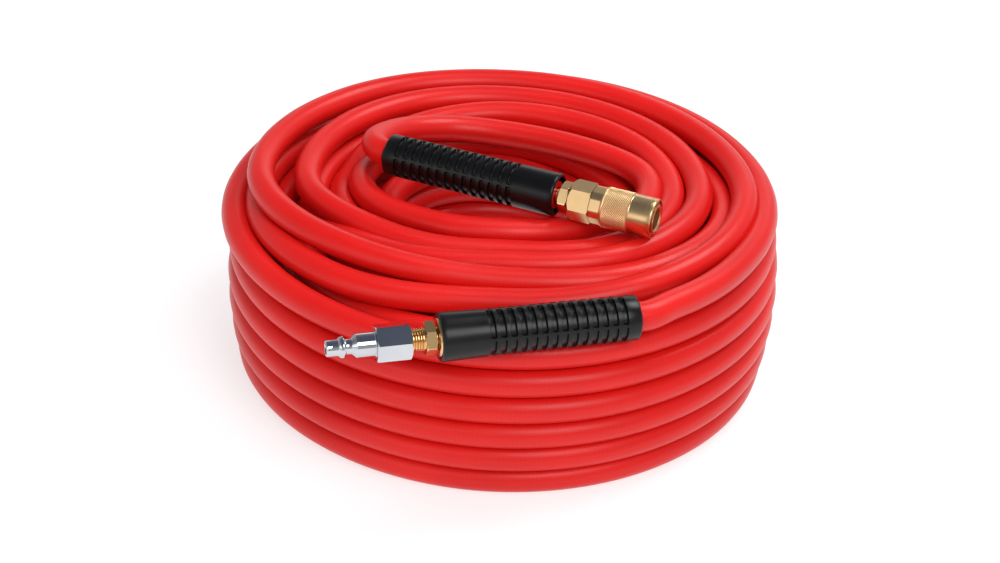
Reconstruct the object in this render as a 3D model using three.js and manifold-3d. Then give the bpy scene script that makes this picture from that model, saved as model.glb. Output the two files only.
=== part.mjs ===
// A wound air hose with a quick coupler on its inner end and a plug on its outer end.
//
// Millimetres, +Z up. The coil lies on the floor at z = 0 with its axis vertical, and the origin is
// on the floor under the middle of the whole object. The coupler's axis runs along +X, out of the
// socket's mouth, at y = 0. The plug hangs a little way out over the coil's rim, towards -Y.

import * as THREE from 'three';
import { mergeVertices } from 'three/addons/utils/BufferGeometryUtils.js';
import Module from 'manifold-3d';

const wasm = await Module();
wasm.setup();

// ---------------------------------------------------------------- driving dimensions

const HOSE_RADIUS = 8;
const HOSE_BORE_RADIUS = 4.75;
const GAP = 0.3; // clearance left between pieces that touch on the real object

// the coil
const COIL_CENTRE_Y = 23.5;
const ROW_PITCH = 16.2;
const ROWS = 6;
const WIDEST_ROW_RADIUS = 157; // centreline of the widest outer turn
const WIDEST_ROW = 2.7; // where on the stack, counted in rows, the outer wall is widest
const BARREL = 0.65; // how fast the wall draws in above and below it, in mm per row squared
const COIL_HOLE_RADIUS = 70;
const INNER_LEDGE_RADIUS = 104.2;
const CROWN_OUTER_RADIUS = 143;
const CROWN_HEIGHT = 118;

// where the two dressed hose ends lie: the mouth of each bend restrictor, and its heading
const COUPLER_END = { position: [-66.5, 0, 123], yaw: 0, stemTurn: 32 };
const PLUG_END = { position: [118.5, -82.9, 110], yaw: 218.3, stemTurn: 23 };

// bend restrictor
const SLEEVE_LENGTH = 106.5;
const SLEEVE_RADIUS = 12.5;
const SLEEVE_HOSE_END_RADIUS = 12.1;
const SLEEVE_RIBS = 14;
const RIB_PITCH = 5.45;
const RIB_WIDTH = 2.5;
const RIB_GROOVE_DEPTH = 1.6;
const FIRST_RIB = 7.5;

// crimp ferrule and barbed stem, by distance from the mouth of the restrictor
const FERRULE_START = 75;
const FERRULE_END = 107.6;
const FERRULE_RADIUS = 10.2;
const STEM_BORE_RADIUS = 3;
const STEM_TUBE_RADIUS = 3.9;
const STEM_HEX_START = 108.7;
const STEM_HEX_LENGTH = 5.3;
const STEM_HEX_FLATS = 15.9;
const PIPE_THREAD_RADIUS = 6.3;
const PIPE_THREAD_END = 125.3;

// coupler, by x
const ADAPTER_REAR = 48.5;
const ADAPTER_SHOULDER = 61.5;
const ADAPTER_FLATS = 20.6;
const ADAPTER_TURN = 35;
const ADAPTER_THREAD_FRONT = 59.3;
const ADAPTER_NOSE_FRONT = 67.2;
const ADAPTER_NOSE_RADIUS = 7.8;
const VALVE_SPRING_SEAT = 60.6;
const VALVE_CHAMBER_RADIUS = 5.6;
const NECK_END = 68;
const NECK_RADIUS = 10.85;
const SOCKET_RADIUS = 8.2;
const SOCKET_BORE_RADIUS = 6.5;
const SOCKET_FRONT = 99.4;
const SLEEVE_RING_REAR = 68.2;
const SLEEVE_RING_FRONT = 98.8;
const SLEEVE_RING_RADIUS = 11.7;
const KNURL_FRONT = 85.2;
const SLEEVE_GUIDE_RADIUS = 8.5;
const SLEEVE_MOUTH_RADIUS = 11.05;
const SLEEVE_MOUTH_DEPTH = 5.8;
const SLEEVE_CHAMBER_RADIUS = 10;
const SPRING_CHAMBER_FRONT = 84.6;
const BALL_PLANE = 87;
const BALL_RADIUS = 1.9;
const BALL_ORBIT = 6.3;
const BALL_COUNT = 4;
const VALVE_SEAT = 72;
const VALVE_SEAT_RADIUS = 4.7;
const SEAL_GROOVE_REAR = 76.3;
const SEAL_GROOVE_FRONT = 79.5;
const SEAL_GROOVE_RADIUS = 6.3;

// plug, by distance from its threaded rear face
const PLUG_REAR = 121.5; // measured from the mouth of the restrictor
const PLUG_HEX_LENGTH = 18.2;
const PLUG_FLATS = 18;
const PLUG_TURN = 52;
const PLUG_SHANK_RADIUS = 6.3;
const PLUG_NECK_RADIUS = 4;
const PLUG_COLLAR_RADIUS = 5.7;
const PLUG_NOSE_RADIUS = 4.3;
const PLUG_LENGTH = 43.5;
const PLUG_BORE_RADIUS = 2.9;
const PLUG_THREAD_DEPTH = 12;

// ---------------------------------------------------------------- materials

const finish = (color, roughness, metalness) =>
  new THREE.MeshStandardMaterial({ color, roughness, metalness });
const RED_RUBBER = finish(0xd8201c, 0.45, 0);
const BLACK_RUBBER = finish(0x141414, 0.55, 0);
const POLISHED_BRASS = finish(0xd9a441, 0.25, 1);
const SATIN_BRASS = finish(0xc9a55c, 0.38, 1);
const CHROME = finish(0xd5d8dd, 0.1, 1);
const SPRING_STEEL = finish(0x8d9196, 0.35, 1);
const SEAL_RUBBER = finish(0x1c1c1c, 0.6, 0);

// ---------------------------------------------------------------- helpers

const object = new THREE.Group();

function add(name, geometry, material, parent = object) {
  const mesh = new THREE.Mesh(geometry, material);
  mesh.name = name;
  parent.add(mesh);
  return mesh;
}

// A turned piece along +X: the outline is a closed list of [distance along, radius].
function turned(outline, segments = 32) {
  const points = outline.map(([along, radius]) => new THREE.Vector2(radius, along));
  const hollow = outline.every(([, radius]) => radius > 0);
  if (hollow) points.push(points[0].clone());
  const geometry = new THREE.LatheGeometry(points, segments);
  return geometry.rotateZ(-Math.PI / 2);
}

// A hexagonal bar along +X, from start to end, with the given size across its flats. One flat
// faces the given number of degrees from +Y towards +Z.
function hexagon(start, end, flats, turn) {
  const corner = flats / Math.sqrt(3);
  const geometry = new THREE.CylinderGeometry(corner, corner, end - start, 6);
  geometry.rotateZ(-Math.PI / 2).rotateX(THREE.MathUtils.degToRad(turn));
  return geometry.translate((start + end) / 2, 0, 0);
}

function toSolid(geometry) {
  const bare = geometry.clone();
  bare.deleteAttribute('normal');
  bare.deleteAttribute('uv');
  const merged = mergeVertices(bare, 1e-4);
  return new wasm.Manifold(new wasm.Mesh({
    numProp: 3,
    vertProperties: Float32Array.from(merged.attributes.position.array),
    triVerts: Uint32Array.from(merged.index.array),
  }));
}

function toGeometry(solid) {
  const mesh = solid.getMesh();
  const geometry = new THREE.BufferGeometry();
  geometry.setAttribute('position', new THREE.BufferAttribute(new Float32Array(mesh.vertProperties), 3));
  geometry.setIndex(new THREE.BufferAttribute(new Uint32Array(mesh.triVerts), 1));
  return geometry;
}

const cut = (body, ...tools) =>
  toGeometry(tools.reduce((solid, tool) => solid.subtract(toSolid(tool)), toSolid(body)));
const join = (body, ...others) =>
  toGeometry(others.reduce((solid, other) => solid.add(toSolid(other)), toSolid(body)));
const trim = (body, tool) => toGeometry(toSolid(body).intersect(toSolid(tool)));

// A round bar of the given radius that follows a curve.
function sweep(curve, radius, steps, sides) {
  const section = new THREE.Shape();
  for (let side = 0; side < sides; side += 1) {
    const angle = (2 * Math.PI * side) / sides;
    const x = radius * Math.cos(angle);
    const y = radius * Math.sin(angle);
    if (side === 0) section.moveTo(x, y);
    else section.lineTo(x, y);
  }
  section.closePath();
  return new THREE.ExtrudeGeometry(section, { steps, extrudePath: curve, bevelEnabled: false });
}

// A compression spring along +X.
function spring(start, end, meanRadius, wireRadius, turns) {
  const points = [];
  const perTurn = 12;
  const first = start + wireRadius;
  const last = end - wireRadius;
  for (let i = 0; i <= turns * perTurn; i += 1) {
    const part = i / (turns * perTurn);
    const angle = 2 * Math.PI * turns * part;
    points.push(new THREE.Vector3(
      first + (last - first) * part,
      meanRadius * Math.cos(angle),
      meanRadius * Math.sin(angle),
    ));
  }
  return sweep(new THREE.CatmullRomCurve3(points), wireRadius, turns * perTurn, 5);
}

// ---------------------------------------------------------------- the hose

const rowRadius = (row) => WIDEST_ROW_RADIUS - BARREL * (row - WIDEST_ROW) ** 2;
const rowHeight = (row) => HOSE_RADIUS + ROW_PITCH * row;

// The coil's outer shape: a scalloped wall of turns, a crown of top turns, and a ledge inside the
// crown where the last loop lies.
function coilOutline() {
  const wall = [];
  for (let row = 0; row < ROWS; row += 1) {
    for (const degrees of [-50, 0, 50]) {
      const angle = THREE.MathUtils.degToRad(degrees);
      wall.push([
        rowRadius(row) + HOSE_RADIUS * Math.cos(angle),
        rowHeight(row) + HOSE_RADIUS * Math.sin(angle),
      ]);
    }
  }
  const topOfRows = rowHeight(ROWS - 1) + HOSE_RADIUS;
  return [
    [COIL_HOLE_RADIUS, 0],
    [rowRadius(0), 0],
    ...wall,
    [rowRadius(ROWS - 1), topOfRows],
    [CROWN_OUTER_RADIUS, topOfRows],
    [CROWN_OUTER_RADIUS, CROWN_HEIGHT - 8],
    [CROWN_OUTER_RADIUS - 3, CROWN_HEIGHT - 2],
    [CROWN_OUTER_RADIUS - 8, CROWN_HEIGHT],
    [CROWN_OUTER_RADIUS - 15, CROWN_HEIGHT],
    [INNER_LEDGE_RADIUS + 16, CROWN_HEIGHT - 5],
    [INNER_LEDGE_RADIUS + 8, CROWN_HEIGHT - 10.5],
    [INNER_LEDGE_RADIUS, CROWN_HEIGHT - 15],
    [INNER_LEDGE_RADIUS, topOfRows - 1],
    [COIL_HOLE_RADIUS, topOfRows - 1],
  ];
}

function coil() {
  const outline = coilOutline().map(([radius, height]) => new THREE.Vector2(radius, height));
  outline.push(outline[0].clone());
  return new THREE.LatheGeometry(outline, 48).rotateX(Math.PI / 2);
}

// The last loop on the inside, from the ledge round to the coupler end's restrictor.
const COUPLER_LEAD = [
  [77.5, 20, 104.6],
  [78, 35, 104.8],
  [77, 50, 105],
  [73, 64, 105.2],
  [65, 76.5, 105.4],
  [52, 85, 105.5],
  [36, 90, 105.5],
  [18, 92.5, 105.5],
  [0, 93, 105.5],
  [-19, 91.5, 105.5],
  [-36, 87.5, 106],
  [-50, 81.5, 107.2],
  [-62, 73.5, 108.9],
  [-72, 64.5, 110.9],
  [-79.5, 54.5, 113],
  [-84.5, 44, 115.2],
  [-87.2, 33, 117.5],
  [-88, 22, 119.7],
  [-87, 13.8, 121.3],
  [-83.4, 7.5, 122.4],
  [-76.8, 2, 123],
  [-70.5, 0, 123],
  [-67.3, 0, 123],
];

// The seventh turn of the outer wall, by angle about the coil's axis, radius and height, from the
// back of the coil round to the plug end's restrictor.
const PLUG_LEAD = [
  [112, 155, 105.5],
  [98, 155, 105.5],
  [84, 155, 105.5],
  [70, 155, 105.5],
  [56, 155, 105.5],
  [42, 155, 105.5],
  [28, 155, 105.5],
  [14, 155, 105.5],
  [0, 155, 105.6],
  [-12, 155.2, 106.3],
  [-22, 156, 107.6],
  [-30, 157.3, 109.1],
  [-36, 158.5, 109.8],
];

function couplerLead() {
  const curve = new THREE.CatmullRomCurve3(COUPLER_LEAD.map((point) => new THREE.Vector3(...point)));
  return sweep(curve, HOSE_RADIUS, 36, 8);
}

function plugLead() {
  const heading = THREE.MathUtils.degToRad(PLUG_END.yaw);
  const mouth = new THREE.Vector3(...PLUG_END.position);
  const forward = new THREE.Vector3(Math.cos(heading), Math.sin(heading), 0);
  const points = PLUG_LEAD.map(([degrees, radius, height]) => {
    const angle = THREE.MathUtils.degToRad(degrees);
    return new THREE.Vector3(
      radius * Math.cos(angle),
      COIL_CENTRE_Y + radius * Math.sin(angle),
      height,
    );
  });
  for (const before of [9, 0.8]) points.push(mouth.clone().addScaledVector(forward, -before));
  return sweep(new THREE.CatmullRomCurve3(points), HOSE_RADIUS, 26, 8);
}

add('hose_coil', coil(), RED_RUBBER).position.y = COIL_CENTRE_Y;
add('hose_coupler_lead', couplerLead(), RED_RUBBER);
add('hose_plug_lead', plugLead(), RED_RUBBER);

// ---------------------------------------------------------------- a dressed hose end

// The moulded sleeve: a short plain cuff at the hose, a run of ribs, and a long plain cuff.
function bendRestrictor() {
  const outer = [[0, SLEEVE_HOSE_END_RADIUS - 0.8], [1, SLEEVE_HOSE_END_RADIUS]];
  for (let rib = 0; rib < SLEEVE_RIBS; rib += 1) {
    const start = FIRST_RIB + rib * RIB_PITCH;
    const part = start / SLEEVE_LENGTH;
    const radius = THREE.MathUtils.lerp(SLEEVE_HOSE_END_RADIUS, SLEEVE_RADIUS, part);
    outer.push([start, radius]);
    outer.push([start, radius - RIB_GROOVE_DEPTH]);
    outer.push([start + RIB_PITCH - RIB_WIDTH, radius - RIB_GROOVE_DEPTH]);
    outer.push([start + RIB_PITCH - RIB_WIDTH, radius]);
  }
  outer.push([SLEEVE_LENGTH - 1, SLEEVE_RADIUS], [SLEEVE_LENGTH, SLEEVE_RADIUS - 0.8]);
  const hoseBore = HOSE_RADIUS + GAP;
  const ferruleBore = FERRULE_RADIUS + GAP;
  return turned([
    ...outer,
    [SLEEVE_LENGTH, ferruleBore],
    [FERRULE_START - GAP, ferruleBore],
    [FERRULE_START - GAP, hoseBore],
    [0, hoseBore],
  ], 16);
}

// The crimped shell: it grips the hose, and its inturned rim holds the stem.
function ferrule() {
  return turned([
    [FERRULE_START, FERRULE_RADIUS],
    [FERRULE_END, FERRULE_RADIUS],
    [FERRULE_END, 5.6],
    [FERRULE_END - 1.6, 5.6],
    [FERRULE_END - 1.6, HOSE_RADIUS + GAP],
    [FERRULE_START, HOSE_RADIUS + GAP],
  ], 22);
}

// The hose's own cut end, hollow, from the restrictor's mouth to the bottom of the ferrule.
function hoseEnd() {
  const end = FERRULE_END - 2;
  return turned([[0, HOSE_RADIUS], [end, HOSE_RADIUS], [end, HOSE_BORE_RADIUS], [0, HOSE_BORE_RADIUS]], 20);
}

// The stem: barbs inside the hose, a hexagon for the spanner, and a tapered male pipe thread.
function stem(turn) {
  const barbs = [];
  for (let barb = 0; barb < 3; barb += 1) {
    const start = FERRULE_START + 2 + barb * 8;
    barbs.push(
      [start, STEM_TUBE_RADIUS],
      [start + 6, HOSE_BORE_RADIUS - GAP],
      [start + 6, STEM_TUBE_RADIUS],
    );
  }
  const hexEnd = STEM_HEX_START + STEM_HEX_LENGTH;
  const thread = [];
  for (let turn = 0; turn < 5; turn += 1) {
    const start = hexEnd + 0.6 + turn * 1.8;
    const crest = PIPE_THREAD_RADIUS - 0.05 * turn;
    thread.push([start, crest - 0.6], [start + 0.9, crest]);
  }
  const turnedPart = turned([
    ...barbs,
    [STEM_HEX_START + 0.5, STEM_TUBE_RADIUS],
    [STEM_HEX_START + 0.5, 5.6],
    ...thread,
    [PIPE_THREAD_END, PIPE_THREAD_RADIUS - 1],
    [PIPE_THREAD_END, STEM_BORE_RADIUS],
    [FERRULE_START + 2, STEM_BORE_RADIUS],
  ], 18);
  const bore = turned([
    [STEM_HEX_START - 1, 0],
    [STEM_HEX_START - 1, STEM_BORE_RADIUS],
    [hexEnd + 1, STEM_BORE_RADIUS],
    [hexEnd + 1, 0],
  ], 18);
  return join(turnedPart, cut(hexagon(STEM_HEX_START, hexEnd, STEM_HEX_FLATS, turn), bore));
}

function dressedEnd(name, { position, yaw, stemTurn }) {
  const group = new THREE.Group();
  group.position.set(...position);
  group.rotation.z = THREE.MathUtils.degToRad(yaw);
  add(`bend_restrictor_${name}`, bendRestrictor(), BLACK_RUBBER, group);
  add(`ferrule_${name}`, ferrule(), POLISHED_BRASS, group);
  add(`hose_end_${name}`, hoseEnd(), RED_RUBBER, group);
  add(`stem_${name}`, stem(stemTurn), POLISHED_BRASS, group);
  object.add(group);
  return group;
}

dressedEnd('coupler', COUPLER_END);
const plugEnd = dressedEnd('plug', PLUG_END);

// ---------------------------------------------------------------- the plug

function plug() {
  const shankEnd = PLUG_HEX_LENGTH + 10.1;
  const body = turned([
    [PLUG_HEX_LENGTH - 1, 0],
    [PLUG_HEX_LENGTH - 1, PLUG_SHANK_RADIUS],
    [shankEnd, PLUG_SHANK_RADIUS],
    [shankEnd + 2, PLUG_NECK_RADIUS],
    [PLUG_LENGTH - 10, PLUG_NECK_RADIUS],
    [PLUG_LENGTH - 9.6, PLUG_COLLAR_RADIUS],
    [PLUG_LENGTH - 7.2, PLUG_COLLAR_RADIUS],
    [PLUG_LENGTH - 6, PLUG_NOSE_RADIUS],
    [PLUG_LENGTH - 0.5, PLUG_NOSE_RADIUS],
    [PLUG_LENGTH, PLUG_NOSE_RADIUS - 0.5],
    [PLUG_LENGTH, 0],
  ], 32);
  const corners = turned([
    [0, 0],
    [0, PLUG_FLATS / 2],
    [1, PLUG_FLATS / 2 + 1.2],
    [PLUG_HEX_LENGTH - 1, PLUG_FLATS / 2 + 1.2],
    [PLUG_HEX_LENGTH, PLUG_FLATS / 2],
    [PLUG_HEX_LENGTH, 0],
  ], 32);
  const bore = turned([
    [-1, 0],
    [-1, PIPE_THREAD_RADIUS + GAP],
    [PLUG_THREAD_DEPTH, PIPE_THREAD_RADIUS + GAP],
    [PLUG_THREAD_DEPTH + 2, PLUG_BORE_RADIUS],
    [PLUG_LENGTH + 1, PLUG_BORE_RADIUS],
    [PLUG_LENGTH + 1, 0],
  ], 24);
  const hex = trim(hexagon(0, PLUG_HEX_LENGTH, PLUG_FLATS, PLUG_TURN), corners);
  return cut(join(hex, body), bore);
}

add('plug', plug(), CHROME, plugEnd).position.x = PLUG_REAR;

// ---------------------------------------------------------------- the quick coupler

const coupler = new THREE.Group();
coupler.position.z = COUPLER_END.position[2];
object.add(coupler);

// Rear adapter: hexagon, female pipe thread behind, a nose that screws into the body in front.
function adapter() {
  const corners = turned([
    [ADAPTER_REAR, 0],
    [ADAPTER_REAR, ADAPTER_FLATS / 2],
    [ADAPTER_REAR + 1.2, ADAPTER_FLATS / 2 + 1.3],
    [ADAPTER_SHOULDER - 1.2, ADAPTER_FLATS / 2 + 1.3],
    [ADAPTER_SHOULDER, ADAPTER_FLATS / 2],
    [ADAPTER_SHOULDER, 0],
  ], 32);
  const nose = turned([
    [ADAPTER_SHOULDER - 1, 0],
    [ADAPTER_SHOULDER - 1, ADAPTER_NOSE_RADIUS],
    [ADAPTER_NOSE_FRONT, ADAPTER_NOSE_RADIUS],
    [ADAPTER_NOSE_FRONT, 0],
  ], 28);
  const passage = turned([
    [ADAPTER_REAR - 1, 0],
    [ADAPTER_REAR - 1, PIPE_THREAD_RADIUS + GAP],
    [ADAPTER_THREAD_FRONT, PIPE_THREAD_RADIUS + GAP],
    [ADAPTER_THREAD_FRONT, STEM_BORE_RADIUS],
    [VALVE_SPRING_SEAT, STEM_BORE_RADIUS],
    [VALVE_SPRING_SEAT, VALVE_CHAMBER_RADIUS],
    [ADAPTER_NOSE_FRONT + 1, VALVE_CHAMBER_RADIUS],
    [ADAPTER_NOSE_FRONT + 1, 0],
  ], 24);
  const hex = trim(hexagon(ADAPTER_REAR, ADAPTER_SHOULDER, ADAPTER_FLATS, ADAPTER_TURN), corners);
  return cut(join(hex, nose), passage);
}

// Body: a neck with six flats behind, and the socket in front, with a hole in its wall for each
// locking ball.
function couplerBody() {
  const wall = turned([
    [ADAPTER_SHOULDER + GAP, SOCKET_RADIUS + 0.4],
    [NECK_END, SOCKET_RADIUS + 0.4],
    [NECK_END, SOCKET_RADIUS],
    [96.9, SOCKET_RADIUS],
    [96.9, 7.5],
    [98.3, 7.5],
    [98.3, SOCKET_RADIUS],
    [SOCKET_FRONT, SOCKET_RADIUS],
    [SOCKET_FRONT, SOCKET_BORE_RADIUS + 0.7],
    [SOCKET_FRONT - 0.8, SOCKET_BORE_RADIUS],
    [82, SOCKET_BORE_RADIUS],
    [80.7, VALVE_SEAT_RADIUS],
    [SEAL_GROOVE_FRONT, VALVE_SEAT_RADIUS],
    [SEAL_GROOVE_FRONT, SEAL_GROOVE_RADIUS],
    [SEAL_GROOVE_REAR, SEAL_GROOVE_RADIUS],
    [SEAL_GROOVE_REAR, VALVE_SEAT_RADIUS],
    [VALVE_SEAT, VALVE_SEAT_RADIUS],
    [VALVE_SEAT, ADAPTER_NOSE_RADIUS - 1.2],
    [ADAPTER_NOSE_FRONT + 0.4, ADAPTER_NOSE_RADIUS - 1.2],
    [ADAPTER_NOSE_FRONT + 0.4, ADAPTER_NOSE_RADIUS + GAP],
    [ADAPTER_SHOULDER + GAP, ADAPTER_NOSE_RADIUS + GAP],
  ], 28);
  const holes = [];
  for (let ball = 0; ball < BALL_COUNT; ball += 1) {
    const angle = ballAngle(ball);
    const hole = new THREE.CylinderGeometry(BALL_RADIUS + 0.25, BALL_RADIUS + 0.25, 6, 12);
    hole.translate(0, SOCKET_BORE_RADIUS + 1, 0).rotateX(angle).translate(BALL_PLANE, 0, 0);
    holes.push(hole);
  }
  const neck = turned([
    [ADAPTER_SHOULDER + GAP, 0],
    [ADAPTER_SHOULDER + GAP, NECK_RADIUS],
    [NECK_END, NECK_RADIUS],
    [NECK_END, 0],
  ], 36);
  const flats = trim(neck, hexagon(ADAPTER_SHOULDER, NECK_END + 1, ADAPTER_FLATS, ADAPTER_TURN));
  const core = turned([
    [ADAPTER_SHOULDER, 0],
    [ADAPTER_SHOULDER, SOCKET_RADIUS - GAP],
    [NECK_END + 1, SOCKET_RADIUS - GAP],
    [NECK_END + 1, 0],
  ], 28);
  return cut(join(wall, cut(flats, core)), ...holes);
}

// Sleeve: a knurled grip behind, a plain band in front. Inside, from the rear: the spring's
// chamber, the land that holds the balls in, the ramp and pocket that let them out, and a guide.
function couplerSleeve() {
  const land = BALL_PLANE - 0.3;
  return turned([
    [SLEEVE_RING_REAR, SLEEVE_RING_RADIUS - 0.3],
    [SLEEVE_RING_REAR + 0.3, SLEEVE_RING_RADIUS],
    [KNURL_FRONT, SLEEVE_RING_RADIUS],
    [KNURL_FRONT + 0.6, SLEEVE_RING_RADIUS - 0.2],
    [SLEEVE_RING_FRONT - 0.8, SLEEVE_RING_RADIUS - 0.2],
    [SLEEVE_RING_FRONT, SLEEVE_RING_RADIUS - 1],
    [SLEEVE_RING_FRONT, 10.4],
    [96.7, 10.4],
    [96.7, SLEEVE_GUIDE_RADIUS],
    [95.2, SLEEVE_GUIDE_RADIUS],
    [95.2, SLEEVE_CHAMBER_RADIUS + 0.1],
    [land + 5.4, SLEEVE_CHAMBER_RADIUS + 0.1],
    [land, SLEEVE_GUIDE_RADIUS],
    [SPRING_CHAMBER_FRONT, SLEEVE_GUIDE_RADIUS],
    [SPRING_CHAMBER_FRONT, SLEEVE_CHAMBER_RADIUS],
    [SLEEVE_RING_REAR + SLEEVE_MOUTH_DEPTH, SLEEVE_CHAMBER_RADIUS],
    [SLEEVE_RING_REAR + SLEEVE_MOUTH_DEPTH, SLEEVE_MOUTH_RADIUS],
    [SLEEVE_RING_REAR, SLEEVE_MOUTH_RADIUS],
  ], 32);
}

function ballAngle(ball) {
  return (2 * Math.PI * (ball + 0.5)) / BALL_COUNT;
}

function ring(start, end, inner, outer, segments = 24) {
  return turned([[start, outer], [end, outer], [end, inner], [start, inner]], segments);
}

// Poppet: the nose that the plug pushes, and the head that closes the seat.
function poppet() {
  return turned([
    [VALVE_SEAT - 5.8, 0],
    [VALVE_SEAT - 5.8, 3.2],
    [VALVE_SEAT - 3.1, 3.2],
    [VALVE_SEAT - 3.1, 5.2],
    [VALVE_SEAT - 1.5, 5.2],
    [VALVE_SEAT - 1.5, 4],
    [SEAL_GROOVE_FRONT - 1.1, 3.4],
    [SEAL_GROOVE_FRONT - 0.5, 2.8],
    [SEAL_GROOVE_FRONT - 0.5, 0],
  ], 18);
}

add('coupler_adapter', adapter(), SATIN_BRASS, coupler);
add('coupler_body', couplerBody(), SATIN_BRASS, coupler);
add('coupler_sleeve', couplerSleeve(), SATIN_BRASS, coupler);
add('sleeve_spring', spring(NECK_END + GAP, SPRING_CHAMBER_FRONT - GAP, 9.2, 0.45, 5), SPRING_STEEL, coupler);
add('sleeve_retaining_ring', ring(97.1, 98.1, 7.8, 10), SPRING_STEEL, coupler);
for (let ball = 0; ball < BALL_COUNT; ball += 1) {
  const angle = ballAngle(ball);
  const mesh = add(`locking_ball_${ball + 1}`, new THREE.SphereGeometry(BALL_RADIUS, 12, 8), CHROME, coupler);
  mesh.position.set(BALL_PLANE, BALL_ORBIT * Math.cos(angle), BALL_ORBIT * Math.sin(angle));
}
add('valve_poppet', poppet(), SATIN_BRASS, coupler);
add('poppet_seal', ring(VALVE_SEAT - 1.2, VALVE_SEAT - GAP, 4.25, 5.3), SEAL_RUBBER, coupler);
add('valve_spring', spring(VALVE_SPRING_SEAT + GAP, VALVE_SEAT - 3.4, 4.2, 0.4, 4), SPRING_STEEL, coupler);
add('plug_seal', ring(SEAL_GROOVE_REAR + GAP, SEAL_GROOVE_FRONT - GAP, 4.4, 6), SEAL_RUBBER, coupler);

export default object;
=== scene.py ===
"""A wound air hose with its bend restrictors, quick coupler and plug.

The route and the fittings are worked out in millimetres and turned into metres as each mesh is made.
"""

import math

import bmesh
import bpy
import numpy as np
from mathutils import Matrix, Vector


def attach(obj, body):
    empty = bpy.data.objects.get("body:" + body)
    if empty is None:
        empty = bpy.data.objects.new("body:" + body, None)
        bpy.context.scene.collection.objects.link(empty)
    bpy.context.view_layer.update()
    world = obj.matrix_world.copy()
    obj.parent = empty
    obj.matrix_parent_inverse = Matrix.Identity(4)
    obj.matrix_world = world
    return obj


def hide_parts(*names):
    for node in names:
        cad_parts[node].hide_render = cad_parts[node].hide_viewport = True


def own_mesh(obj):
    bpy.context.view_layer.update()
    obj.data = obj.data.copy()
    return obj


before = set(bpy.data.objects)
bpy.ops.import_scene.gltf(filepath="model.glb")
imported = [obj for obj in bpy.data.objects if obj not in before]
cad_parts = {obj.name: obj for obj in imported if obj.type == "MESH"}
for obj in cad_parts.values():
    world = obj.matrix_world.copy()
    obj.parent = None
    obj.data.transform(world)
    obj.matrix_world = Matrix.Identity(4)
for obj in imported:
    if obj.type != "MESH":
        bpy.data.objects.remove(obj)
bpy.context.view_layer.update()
scene = bpy.context.scene
MM = 0.001

# ---------------------------------------------------------------- camera

AZIMUTH = math.radians(22.0)
ELEVATION = math.radians(30.5)
ROLL = 0.053
TARGET = Vector((0.0, 0.0235, 0.05))
DISTANCE = 1.2
back = Vector((
    math.sin(AZIMUTH) * math.cos(ELEVATION),
    -math.cos(AZIMUTH) * math.cos(ELEVATION),
    math.sin(ELEVATION),
))
camera = bpy.data.objects.new("camera", bpy.data.cameras.new("camera"))
camera.data.lens = 71.7
camera.data.sensor_width = 36.0
camera.data.shift_x = -0.0048
camera.data.shift_y = -0.0111
camera.data.clip_start = 0.05
camera.data.clip_end = 50.0
look = (-back).to_track_quat("-Z", "Y").to_matrix().to_4x4()
camera.matrix_world = Matrix.Translation(TARGET + back * DISTANCE) @ look @ Matrix.Rotation(ROLL, 4, "Z")
scene.collection.objects.link(camera)
scene.camera = camera

# ---------------------------------------------------------------- curves


def smooth_step(x, low, high):
    s = np.clip((x - low) / (high - low), 0, 1)
    return s * s * (3 - 2 * s)


def hermite(values, slopes, i, width, s):
    """Cubic between values i and i + 1, a width apart, at the fraction s of the way."""
    return (
        values[i] * (1 + 2 * s) * (1 - s) ** 2 + slopes[i] * width * s * (1 - s) ** 2
        + values[i + 1] * s**2 * (3 - 2 * s) + slopes[i + 1] * width * s**2 * (s - 1)
    )


def monotone(x, y, at):
    """Monotone cubic interpolation of y over x."""
    width = np.diff(x)[:, None]
    rise = np.diff(y, axis=0) / width
    slopes = np.zeros_like(y)
    before = 2 * width[1:] + width[:-1]
    after = width[1:] + 2 * width[:-1]
    same_sign = rise[:-1] * rise[1:] > 0
    with np.errstate(divide="ignore", invalid="ignore"):
        mean = (before + after) / (before / rise[:-1] + after / rise[1:])
    slopes[1:-1] = np.where(same_sign, mean, 0)
    slopes[0], slopes[-1] = rise[0], rise[-1]
    i = np.clip(np.searchsorted(x, at) - 1, 0, len(x) - 2)
    s = ((at - x[i]) / width[i, 0])[:, None]
    return hermite(y, slopes, i, width[i], s)


def path_length(points):
    """Length along the points from the first to each of them."""
    return np.concatenate([[0], np.cumsum(np.linalg.norm(np.diff(points, axis=0), axis=1))])


def resample(points, step):
    """Points a step apart on a smooth curve through the given ones."""
    chord = path_length(points)
    tangent = np.gradient(points, chord, axis=0)
    at = np.linspace(0, chord[-1], int(chord[-1] / step) + 1)
    i = np.clip(np.searchsorted(chord, at) - 1, 0, len(chord) - 2)
    width = (chord[i + 1] - chord[i])[:, None]
    s = (at - chord[i])[:, None] / width
    return hermite(points, tangent, i, width, s)


# ---------------------------------------------------------------- the hose's route, in millimetres

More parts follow.
